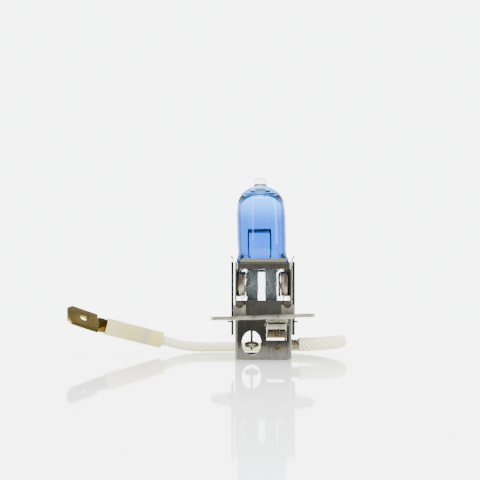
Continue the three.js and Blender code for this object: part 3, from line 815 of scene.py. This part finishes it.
class BULB_OT_camera_and_stage(bpy.types.Operator):
    """Adds the camera, the pale floor and the soft light"""
    bl_idname = "bulb.camera_and_stage"
    bl_label = "Camera and Stage"

    def execute(self, context):
        look = context.scene.bulb_stage
        data = bpy.data.cameras.new("Camera")
        data.lens, data.sensor_width = look.focal_length, 36.0
        data.shift_y = 19 / 120  # the horizon sits below the middle of the frame
        data.clip_start, data.clip_end = 0.005, 20.0
        camera = linked("Camera", data)
        camera.location = (-4.8 * MM, -look.distance, REFERENCE * MM)
        camera.rotation_euler = (math.radians(90), 0, 0)
        context.scene.camera = camera
        self.floor(look)
        context.scene.world = self.surroundings(look)
        self.softbox("softbox_left", (-0.40, -0.44, 0.20), (0.07, 0.28), 1.0)
        self.softbox("softbox_right", (0.56, -0.19, 0.22), (0.10, 0.30), 1.9)
        return {"FINISHED"}

    def floor(self, look):
        """A flat sheet with a rounded front edge, its top at the height of the feet."""
        front, far, wide, thick = look.floor_front / MM, 1600.0, 1200.0, 12.0
        outline = np.array([(-wide, -front), (wide, -front), (wide, far), (-wide, far)])
        flat, groups = sheet_piece(around(outline, 400.0), thick, 0.4)
        lowered = (flat - np.array([0, 0, thick / 2])) * MM
        linked("floor", meshed("floor", lowered, groups, polished_acrylic()))

    def surroundings(self, look):
        """A white room, which shiny pieces mirror as dim ahead and above, paler beside, white behind."""
        world = bpy.data.worlds.new("Studio")
        world.use_nodes = True
        tree = world.node_tree
        direction = add(tree, "ShaderNodeTexCoord").outputs["Generated"]
        _, y, z = add(tree, "ShaderNodeSeparateXYZ", {"Vector": direction}).outputs
        ahead = blended(tree, ranged(tree, z, 0.012, 0.035), linear("#292929"), linear("#404040"))
        front = ranged(tree, y, -0.96, -0.78, 1.0, 0.0)
        mirrored = blended(tree, front, linear("#5c5c5c"), ahead)
        low = ranged(tree, z, 0.35, 0.7, 1.0, 0.0)
        for start, end, colour in ((-0.2, 0.3, "#9a9a9a"), (0.84, 0.9, "#ffffff")):
            share = calc(tree, "MULTIPLY", ranged(tree, y, start, end), low)
            mirrored = blended(tree, share, mirrored, linear(colour))
        rays = add(tree, "ShaderNodeLightPath").outputs
        unmirrored = calc(tree, "LESS_THAN", rays["Glossy Depth"], 0.5)
        refracted = calc(tree, "MULTIPLY", rays["Is Transmission Ray"], unmirrored)
        straight = calc(tree, "MAXIMUM", rays["Is Camera Ray"], refracted)
        plain = calc(tree, "MAXIMUM", straight, rays["Is Diffuse Ray"])
        back = tree.nodes["Background"]
        tree.links.new(blended(tree, plain, mirrored, linear("#fbfefd")), back.inputs["Color"])
        back.inputs["Strength"].default_value = look.brightness
        return world

    def softbox(self, name, place, size, watts):
        """A rectangular area light that faces the bulb."""
        data = bpy.data.lights.new(name, "AREA")
        data.shape, data.size, data.size_y, data.energy = "RECTANGLE", *size, watts
        box = linked(name, data)
        box.location = place
        aim = Vector((0, 0, 0.02)) - Vector(place)
        box.rotation_euler = aim.to_track_quat("-Z", "Y").to_euler()
        box.visible_camera = False


class BULB_OT_flying_lead(bpy.types.Operator):
    """Braids the flying lead along its route"""
    bl_idname = "bulb.flying_lead"
    bl_label = "Flying Lead"

    def execute(self, context):
        look = context.scene.bulb_lead
        path, travel = spaced(lead_path(), LEAD_RINGS)
        plain_from, widest_at, swell = 34.0, 8.0, 0.27  # the braid bunches up towards the ferrule
        slack = np.clip((plain_from - travel) / (plain_from - widest_at), 0, 1)
        radius = look.diameter / MM / 2 - 0.04 + swell * slack**2 * (3 - 2 * slack)
        radius[:3] *= (0.82, 0.93, 0.98)
        radius[-3:] *= (0.98, 0.93, 0.82)
        covered = look.sleeve_length / MM - 9.6  # the stretch of lead inside the sleeve
        radius = np.where(travel > travel[-1] - covered, np.minimum(radius, 1.28), radius)
        rings, height = braid_surface(path, travel, radius, look)
        lead = piece("flying_lead_braid", closed(rings), fibre_braid(),
                     ("flying_lead",), sharp=80, merge=False)
        # The yarn height at each point, which the braid's material uses to paint shade into the gaps.
        yarn = lead.data.attributes.new("yarn_height", "FLOAT", "POINT")
        yarn.data.foreach_set("value", height.reshape(-1).astype(np.float32))
        return {"FINISHED"}


class BULB_OT_capsule(bpy.types.Operator):
    """Blows the glass capsule with its pinch seal and tip"""
    bl_idname = "bulb.capsule"
    bl_label = "Glass Capsule"

    def execute(self, context):
        look = context.scene.bulb_capsule
        outside = closed(capsule_outside(look), caps=False)
        bore = closed(capsule_bore(look), caps=False, inward=True)
        piece("capsule_glass", joined(outside, bore), coated_quartz(),
              ("glass_capsule",), sharp=80, second=clear_quartz(), second_from=len(outside[1][0]))
        return {"FINISHED"}


class BULB_OT_filament(bpy.types.Operator):
    """Winds the filament and stands it on its two posts"""
    bl_idname = "bulb.filament"
    bl_label = "Filament and Posts"

    def execute(self, context):
        look = context.scene.bulb_capsule
        tungsten = metal_of("tungsten")
        turn = np.linspace(0, 1, look.coil_turns * 24)
        angle = 2 * np.pi * look.coil_turns * turn
        coil_radius = 0.43  # a helix: x runs evenly, y and z are a sine and a cosine of the angle
        helix = np.stack([-2.86 + 4.4 * turn, -coil_radius * np.sin(angle),
                          FILAMENT_HEIGHT + coil_radius * np.cos(angle)], axis=1)
        start = np.array([(-3.0, 0, 18.2), (-2.95, 0, 18.36)])
        end = np.array([(1.62, 0, 18.36), (1.68, 0, 18.2)])
        coil = curve_through(np.vstack([start, helix, end]), 2)
        piece("filament_winding", closed(swept(coil, 0.1, 8, (1, 0.01, 0.02))), tungsten,
              ("filament_coil",), sharp=80)
        live = curve_through([(-3.0, 0, 18.3), (-3.0, 0, 15.0), (-3.0, 0, 12.4), (-2.95, 0, 10.0)])
        ground = curve_through([(1.66, 0, 18.3), (1.7, 0, 16.0), (1.8, 0, 13.6), (1.88, 0, 12.0),
                                (1.9, 0, 10.0)])
        for name, path, node in (("post_live_wire", live, "filament_post_live"),
                                 ("post_ground_wire", ground, "filament_post_ground")):
            piece(name, wire(path, 0.17, 14), tungsten, (node,), sharp=60)
        return {"FINISHED"}


class BULB_OT_seal(bpy.types.Operator):
    """Lays the foils in the pinch seal and runs the two outer pins"""
    bl_idname = "bulb.seal"
    bl_label = "Foils and Pins"

    def foil(self, x, phase):
        """A thin strip whose faces ripple in depth by two sines of its width and height."""
        half, thick, low, high = 1.27, 0.05, 2.6, 10.4
        outline = around(np.array([(-half, low), (half, low), (half, high), (-half, high)]), 0.12)
        across, height = outline.T
        lean = 0.04 * np.sin(1.7 * height + phase)
        rings = []
        for share in (0.0, 0.35, 0.7, 1.0):
            u = across * share
            v = 6.5 + (height - 6.5) * share
            ripple = 0.035 * np.sin(5.3 * u + 2.3 * v + phase) + 0.03 * np.sin(9.1 * v - 3.1 * u)
            rings.append(np.stack([x + u + lean * share, ripple + thick / 2 * (share < 1), v], axis=-1))
        front = np.array(rings)
        back = front[::-1].copy()
        back[..., 1] -= thick
        return np.concatenate([front, back[1:]])

    def execute(self, context):
        foil = metal_of("molybdenum")
        for name, x, node in (("foil_live_strip", -2.23, "seal_foil_live"),
                              ("foil_ground_strip", 1.75, "seal_foil_ground")):
            piece(name, closed(self.foil(x, x), caps=False), foil, (node,),
                  sharp=70)
        tungsten = metal_of("tungsten")
        live = curve_through([(-2.3, 0, 3.0), (-2.3, 0, 0), (-2.32, 0, -3.4), (-2.3, 0, -7.3)])
        piece("live_pin_wire", wire(live, 0.27, 16), tungsten, ("live_pin",), sharp=60)
        ground = curve_through([(1.75, 0, 3.0), (1.75, 0, 0.2), (1.75, -0.2, -1.7), (2.1, -1.5, -2.75),
                                (2.6, -3.2, -2.92), (2.62, -4.6, -2.92), (2.62, -4.98, -3.12),
                                (2.62, -5.04, -3.6), (2.62, -5.02, -4.05)])
        path, _ = spaced(ground, 90)
        thin = np.ones(len(path))
        thin[-4:] = (0.97, 0.85, 0.6, 0.3)
        leg = swept(path, 0.225 * thin, 16, (1, 0, 0.01))
        piece("ground_pin_wire", closed(leg), tungsten, ("ground_pin",), sharp=60)
        return {"FINISHED"}


class BULB_OT_holder(bpy.types.Operator):
    """Finishes the holder's shells, straps and clips"""
    bl_idname = "bulb.holder"
    bl_label = "Holder"

    def execute(self, context):
        look = context.scene.bulb_holder
        steel, strap = brushed_holder_steel(), blackened_strap()
        edge = look.edge / MM
        rounded_copy("holder_front_shell", "front_shell_sheet", steel, edge, look.lean)
        rounded_copy("holder_rear_shell", "rear_shell_sheet", steel, edge * 0.7)
        for side in ("left", "right"):
            rounded_copy(f"side_strap_{side}", f"strap_{side}_sheet", strap, 0.03,
                         thicken=0.14)
        spring = metal_of("spring steel")
        half = np.array([(3.82, 2.0), (4.1, 2.28), (4.65, 2.42), (5.15, 2.3), (5.4, 1.85), (5.44, 1.1)])
        loop = np.concatenate([half * (1, -1), [(5.44, 0)], half[::-1]])
        for side, turn in (("right", 1), ("left", -1)):
            rings = bent_strip(loop * (turn, 1), 0.24, 4.2, 9.3)
            piece(f"clip_{side}_spring", closed(rings), spring,
                  (f"pinch_clip_{side}",), sharp=50)
        return {"FINISHED"}


class BULB_OT_weld_spots(bpy.types.Operator):
    """Presses the spot welds and the half dimple into the front shell"""
    bl_idname = "bulb.weld_spots"
    bl_label = "Weld Spots and Dimple"

    def execute(self, context):
        r, nugget = 0.95, metal_of("weld")  # a low button: a profile turned about its axis
        profile = [(0, 0.03), (r * 0.5, 0.035), (r * 0.85, 0.05), (r, 0.0), (r, -0.25), (0, -0.25)]
        button = turned(profile, 36) * (1, 1, 0.6)
        for index, (x, z) in enumerate(WELDS):
            spot = closed(facing_front(button, x, HOLDER_FRONT, z), caps=False)
            piece(f"weld_spot_{index + 1}", spot, nugget, sharp=50)
        x, z = DIMPLE
        turn = np.linspace(0, np.pi, 29)  # half rings that shrink as they rise make the half dome
        rings = []
        for share, rise in ((1.0, -0.1), (1.0, 0.0), (0.9, 0.1), (0.7, 0.19), (0.4, 0.25), (0.05, 0.27)):
            across, down = 0.8 * share * np.cos(turn), 0.85 * share * np.sin(turn)
            rings.append(np.stack([x + across, HOLDER_FRONT - rise + 0 * turn, z - down], axis=-1))
        piece("dimple_half_dome", closed(np.array(rings)), metal_of("dimple"), sharp=50)
        slit = np.array([(-1.1, 0), (1.1, 0), (1.1, 0.22), (-1.1, 0.22)])
        flat, groups = sheet_piece(around(slit, 0.1), 0.12, 0.04)
        piece("dimple_sheared_edge", (facing_front(flat, x, HOLDER_FRONT, z + 0.03), groups),
              metal_of("sheared edge"))
        return {"FINISHED"}


class BULB_OT_flange(bpy.types.Operator):
    """Stamps the round flange with its notch and upturned tabs"""
    bl_idname = "bulb.flange"
    bl_label = "Flange"

    def rim(self, direction, radius):
        """The rim in a direction: a circle, cut off straight across the notch."""
        circle = direction * radius
        left, right, depth = -2.2, 2.8, -9.9
        in_notch = (circle[:, 0] > left) & (circle[:, 0] < right) & (circle[:, 1] < depth)
        reach = np.where(in_notch, depth / np.where(in_notch, direction[:, 1], -1), radius)
        return direction * reach[:, None]

    def sag(self, points, droop):
        """The disc sits askew in its tabs: z rises by droop from the left rim to the right rim."""
        x = points[..., 0]
        warped = points.copy()
        warped[..., 2] += 0.2 + droop * x / (2 * FLANGE_RADIUS) + 0.03 * np.sin(x * 1.1)
        return warped

    def upturned_tab(self, side_x, side_y):
        """A tab with a round bite out of its top edge, one section across it at each x. It leans outward."""
        x = np.linspace(-1.25, 1.25, 81)
        depth = np.sqrt(np.clip(0.95**2 - (x + side_x * 0.03) ** 2, 0, None))
        top = np.minimum(2.3, 2.6 - depth)
        half, edge = 0.175, 0.09
        y = np.array([-half, -half, -half + 0.3 * edge, -half + edge])
        drop = np.array([0, edge, 0.3 * edge, 0])
        y, drop = np.concatenate([y, -y[::-1]]), np.concatenate([drop, drop[::-1]])
        z = top[:, None] - drop
        z[:, [0, -1]] = -0.6
        slim = np.ones(len(x))
        slim[[0, -1]] = 0.5
        slim[[1, -2]] = 0.85
        y = side_y * 4.975 + y * slim[:, None] + side_y * 0.055 * z
        return closed(np.stack([x[:, None] + side_x * 4.9 + 0 * z, y, z], axis=-1))

    def execute(self, context):
        look = context.scene.bulb_holder
        hole = np.array([(-6.15, -4.8), (6.15, -4.8), (6.15, -2.7), (6.8, -2.7), (6.8, 2.7), (6.15, 2.7),
                         (6.15, 4.8), (-6.15, 4.8), (-6.15, 2.7), (-6.8, 2.7), (-6.8, -2.7), (-6.15, -2.7)])
        inner = around(hole, 0.09)
        outer = self.rim(unit(inner), look.flange_radius / MM)
        middle = [inner + (outer - inner) * share for share in (0.8, 0.6, 0.4, 0.2)]
        thick = 0.8
        section = ring_sheet(outer, inner, thick, 0.16, 5)
        count = len(section) // 2
        upper = levelled(middle, [thick / 2] * len(middle))
        lower = levelled(middle[::-1], [-thick / 2] * len(middle))
        # up the rim, over the top in four steps, down the hole's edge and back underneath
        rings = np.concatenate([section[:count], upper, section[count:], lower])
        rings[..., 2] -= thick / 2
        disc = closed(self.sag(rings, look.flange_droop / MM), wrap_rows=True)
        piece("flange_disc", disc, metal_of("flange nickel"), ("mounting_flange",),
              sharp=50)
        tabs = [self.upturned_tab(x, y) for x in (-1, 1) for y in (-1, 1)]
        piece("flange_tabs", joined(*tabs), metal_of("tab nickel"), sharp=50)
        return {"FINISHED"}


class BULB_OT_ground_tab(bpy.types.Operator):
    """Bends the slotted ground tab and brazes the ground wire's end to it"""
    bl_idname = "bulb.ground_tab"
    bl_label = "Ground Tab"

    def plate(self, left, right, low, high, front, thick, lean=0.0, corner=0.1):
        """A plate with round corners: its face looks forward and leans back by lean for each mm up."""
        turn = np.linspace(0, np.pi / 2, 7)
        arc = corner * np.stack([np.cos(turn), np.sin(turn)], axis=1)
        centres = ((right - corner, high - corner), (left + corner, high - corner),
                   (left + corner, low + corner), (right - corner, low + corner))
        quarter = [arc, arc[:, ::-1] * (-1, 1), arc * (-1, -1), arc[:, ::-1] * (1, -1)]
        outline = np.vstack([np.array(centre) + bow for centre, bow in zip(centres, quarter)])
        flat, groups = sheet_piece(around(outline, 0.15), thick, 0.07)
        y = front + thick / 2 - flat[:, 2] + lean * (flat[:, 1] - (low + high) / 2)
        return np.stack([flat[:, 0], y, flat[:, 1]], axis=-1), groups

    def execute(self, context):
        left, right = 0.64, 4.72
        plates = [
            self.plate(0.5, 5.04, -1.25, -0.6, -4.84, 0.3, 0.06, 0.3),
            self.plate(left, left + 0.26, -4.6, -1.2, -4.76, 0.2),
            self.plate(right - 0.26, right, -4.6, -1.2, -4.76, 0.2),
            self.plate(left + 0.1, right - 0.02, -2.72, -1.64, -4.82, 0.2, -0.02),
        ]
        piece("ground_tab_strip", joined(*plates), metal_of("tab nickel"),
              ("ground_tab",), sharp=50)
        foot = self.plate(left + 0.1, right - 0.02, -4.5, -3.08, -4.8, 0.2, 0.02)
        piece("ground_tab_foot", foot, metal_of("brazed steel"), sharp=50)
        # Painted shade: a near black sheet behind the tab, seen through its slots and gaps.
        slot_shade_sheet = self.plate(left + 0.02, right - 0.02, -3.5, -1.1, -4.58, 0.1)
        piece("ground_tab_slot_shade_sheet", slot_shade_sheet, metal_of("painted slot shade"), sharp=50)
        bend = curve_through([(2.12, -4.7, -2.72), (2.1, -5.0, -3.0), (2.12, -5.06, -3.6), (2.3, -5.06, -4.0),
                              (2.62, -5.06, -4.16), (2.94, -5.06, -4.0), (3.12, -5.06, -3.6),
                              (3.14, -5.0, -3.0), (3.12, -4.7, -2.72)])
        piece("ground_wire_braze", wire(bend, 0.15, 12, (0, 1, 0.01)), metal_of("braze"),
              sharp=70)
        return {"FINISHED"}


class BULB_OT_live_joint(bpy.types.Operator):
    """Makes the crimped joint, the conductor, its fibre sleeve and the ferrule"""
    bl_idname = "bulb.live_joint"
    bl_label = "Live Joint and Ferrule"

    def execute(self, context):
        raised = np.array([0, 0, JOINT_HEIGHT])
        reach = np.linspace(-1, 1, 41)  # a barrel of ovals, whose size is (1 - reach^3.2)^0.55
        swell = np.clip(1 - np.abs(reach) ** 3.2, 0, None) ** 0.55
        x, y = superellipse(0.8 * (0.35 + 0.65 * swell), 0.72 * swell + 0.02, 2.0 + 0 * swell, 40)
        barrel = np.stack([-2.32 + 1.58 * reach[:, None] + 0 * x, x, y], axis=-1) + raised
        piece("splice_barrel", closed(barrel), metal_of("bright nickel"), ("live_splice",),
              sharp=70)
        strand = np.linspace(-0.55, 7.5, 90)
        path = np.stack([strand, 0 * strand, 0 * strand], axis=1) + raised
        sides = 28  # the bundle's radius ripples round it, and the ripple twists along it
        bunch = 1 + 0.09 * np.abs(np.sin(3.5 * ring_angles(sides) + 1.4 * strand[:, None]))
        rings = path[:, None] + 0.33 * bunch[..., None] * round_about(path, sides, (0, 0, 1))
        piece("inner_strands", closed(rings), metal_of("copper"),
              ("inner_conductor",), sharp=70)
        tube = [(0.65, -0.25), (0.82, -0.28), (0.93, -0.18), (0.95, 0.1), (0.95, 4.3), (0.9, 4.6),
                (0.65, 4.6), (0.65, -0.25)]
        weave = sideways(turned(curve_through(tube, 5)[:-1], 40)) + raised
        piece("inner_fibre_sleeve", closed(weave, wrap_rows=True), fibre_braid(),
              ("inner_insulation",), sharp=60)
        outer, inner, left, right = 1.13, 0.75, 4.9, 7.55
        along = np.linspace(left + 0.1, right - 0.1, 80)
        # two crimp grooves, each a bell curve in the radius
        groove = sum(0.14 * np.exp(-((along - right + place) / 0.11) ** 2) for place in (0.38, 0.98))
        wall = np.stack([outer - groove, along], axis=1)
        profile = np.vstack([[(inner, left), (outer - 0.08, left)], wall,
                             [(outer - 0.08, right), (inner, right)]])
        barrel = closed(sideways(turned(profile, 64)) + raised, wrap_rows=True)
        piece("ferrule_barrel", barrel, metal_of("tinned ferrule"), ("lead_ferrule",),
              sharp=40)
        return {"FINISHED"}


class BULB_OT_terminal(bpy.types.Operator):
    """Stamps the blade terminal and folds its crimps"""
    bl_idname = "bulb.terminal"
    bl_label = "Blade Terminal"

    def execute(self, context):
        # the strip's outline lies level, and its edge is drawn in by the edge profile
        tip, reach, half, neck, chamfer = -9.5, -2.0, 3.15, 1.3, 1.1
        outline = np.array([
            (tip, -half + chamfer), (tip + chamfer, -half), (reach - 0.15, -half), (reach, -half + 0.15),
            (reach, -neck - 0.3), (reach + 0.3, -neck), (0.5, -neck), (0.5, neck), (reach + 0.3, neck),
            (reach, neck + 0.3), (reach, half - 0.15), (reach - 0.15, half), (tip + chamfer, half),
            (tip, half - chamfer),
        ])
        eye = np.array([tip + 3.9, 0])  # the round hole, a circle with as many points as the outline
        outer = around(outline, 0.12)
        section = ring_sheet(outer, eye + 0.85 * unit(outer - eye), 0.8, 0.12)
        piece("blade_strip", closed(placed(section, SLEEVE_START, *BLADE_AXES), wrap_rows=True),
              stamped_brass(), ("blade_terminal",), sharp=40)
        # ovals at places along the crimp: half width, half height and power, smoothed between them
        stations = np.array([
            (-2.7, 1.6, 0.2, 6), (-2.1, 2.0, 0.5, 5), (-1.4, 2.05, 0.95, 3.5), (-0.5, 1.72, 1.4, 2.6),
            (0.25, 1.5, 1.4, 2.3), (1.4, 1.22, 1.15, 2.4), (5.0, 1.22, 1.15, 2.4), (5.5, 1.15, 1.0, 2.6),
            (5.9, 1.0, 0.72, 3), (6.3, 1.25, 1.1, 2.4), (6.6, 1.42, 1.38, 2.2), (9.2, 1.42, 1.38, 2.2),
            (9.5, 1.36, 1.3, 2.2),
        ])
        local = sideways(lofted(stations, 48))
        fold = np.exp(-(local[..., 1] / 0.16) ** 2) * (local[..., 2] > 0) * (local[..., 0] > 1.2)
        local[..., 2] -= 0.3 * fold  # the two crimp wings meet in a crease
        piece("crimp_barrel", closed(placed(local, SLEEVE_START, *SLEEVE_AXES)), metal_of("crimped brass"),
              sharp=50)
        return {"FINISHED"}


class BULB_OT_sleeve(bpy.types.Operator):
    """Slips the silicone sleeve over the crimp"""
    bl_idname = "bulb.sleeve"
    bl_label = "Terminal Sleeve"

    def execute(self, context):
        length, outer, inner = context.scene.bulb_lead.sleeve_length / MM, 2.05, 1.7
        along = np.linspace(0.12, length - 0.12, 60)  # the radius wavers by two sines of the length
        slack = 0.05 * np.sin(along * 0.9) + 0.03 * np.sin(along * 2.3)
        outside = np.stack([outer - 0.06 + 0.5 * slack, along], axis=1)
        profile = np.vstack([[(inner, 0.0), (outer - 0.16, 0.0)], outside,
                             [(outer - 0.16, length), (inner, length)]])
        tube = placed(sideways(turned(profile, 72)), SLEEVE_START, *SLEEVE_AXES)
        piece("sleeve_tube", closed(tube, wrap_rows=True), extruded_silicone(),
              ("terminal_sleeve",), body=SLEEVE, sharp=50)
        return {"FINISHED"}


class BULB_OT_declare_cord(bpy.types.Operator):
    bl_idname = "bulb.declare_cord"
    bl_label = "Declare Cord"

    def execute(self, context):
        return {"FINISHED"}


class BULB_PT_panel(bpy.types.Panel):
    """Lists the bulb's pieces in the order in which they are made"""
    bl_idname = "BULB_PT_panel"
    bl_label = "Headlight Bulb"
    bl_space_type = "VIEW_3D"
    bl_region_type = "UI"
    bl_category = "Bulb"

    def draw(self, context):
        column = self.layout.column(align=True)
        for operator in OPERATORS:
            column.operator(operator.bl_idname)


SETTINGS = {"bulb_stage": BulbStage, "bulb_capsule": BulbCapsule, "bulb_holder": BulbHolder,
            "bulb_lead": BulbLead}
OPERATORS = (
    BULB_OT_camera_and_stage, BULB_OT_flying_lead, BULB_OT_capsule, BULB_OT_filament, BULB_OT_seal,
    BULB_OT_holder, BULB_OT_weld_spots, BULB_OT_flange, BULB_OT_ground_tab, BULB_OT_live_joint,
    BULB_OT_terminal, BULB_OT_sleeve, BULB_OT_declare_cord,
)


def register():
    for kind in (*SETTINGS.values(), *OPERATORS, BULB_PT_panel):
        bpy.utils.register_class(kind)
    for name, kind in SETTINGS.items():
        setattr(bpy.types.Scene, name, PointerProperty(type=kind))


def unregister():
    for name in SETTINGS:
        delattr(bpy.types.Scene, name)
    for kind in (BULB_PT_panel, *reversed(OPERATORS), *reversed(tuple(SETTINGS.values()))):
        bpy.utils.unregister_class(kind)


def main():
    register()
    for operator in OPERATORS:
        group, name = operator.bl_idname.split(".")
        getattr(getattr(bpy.ops, group), name)()


if __name__ == "__main__":
    main()
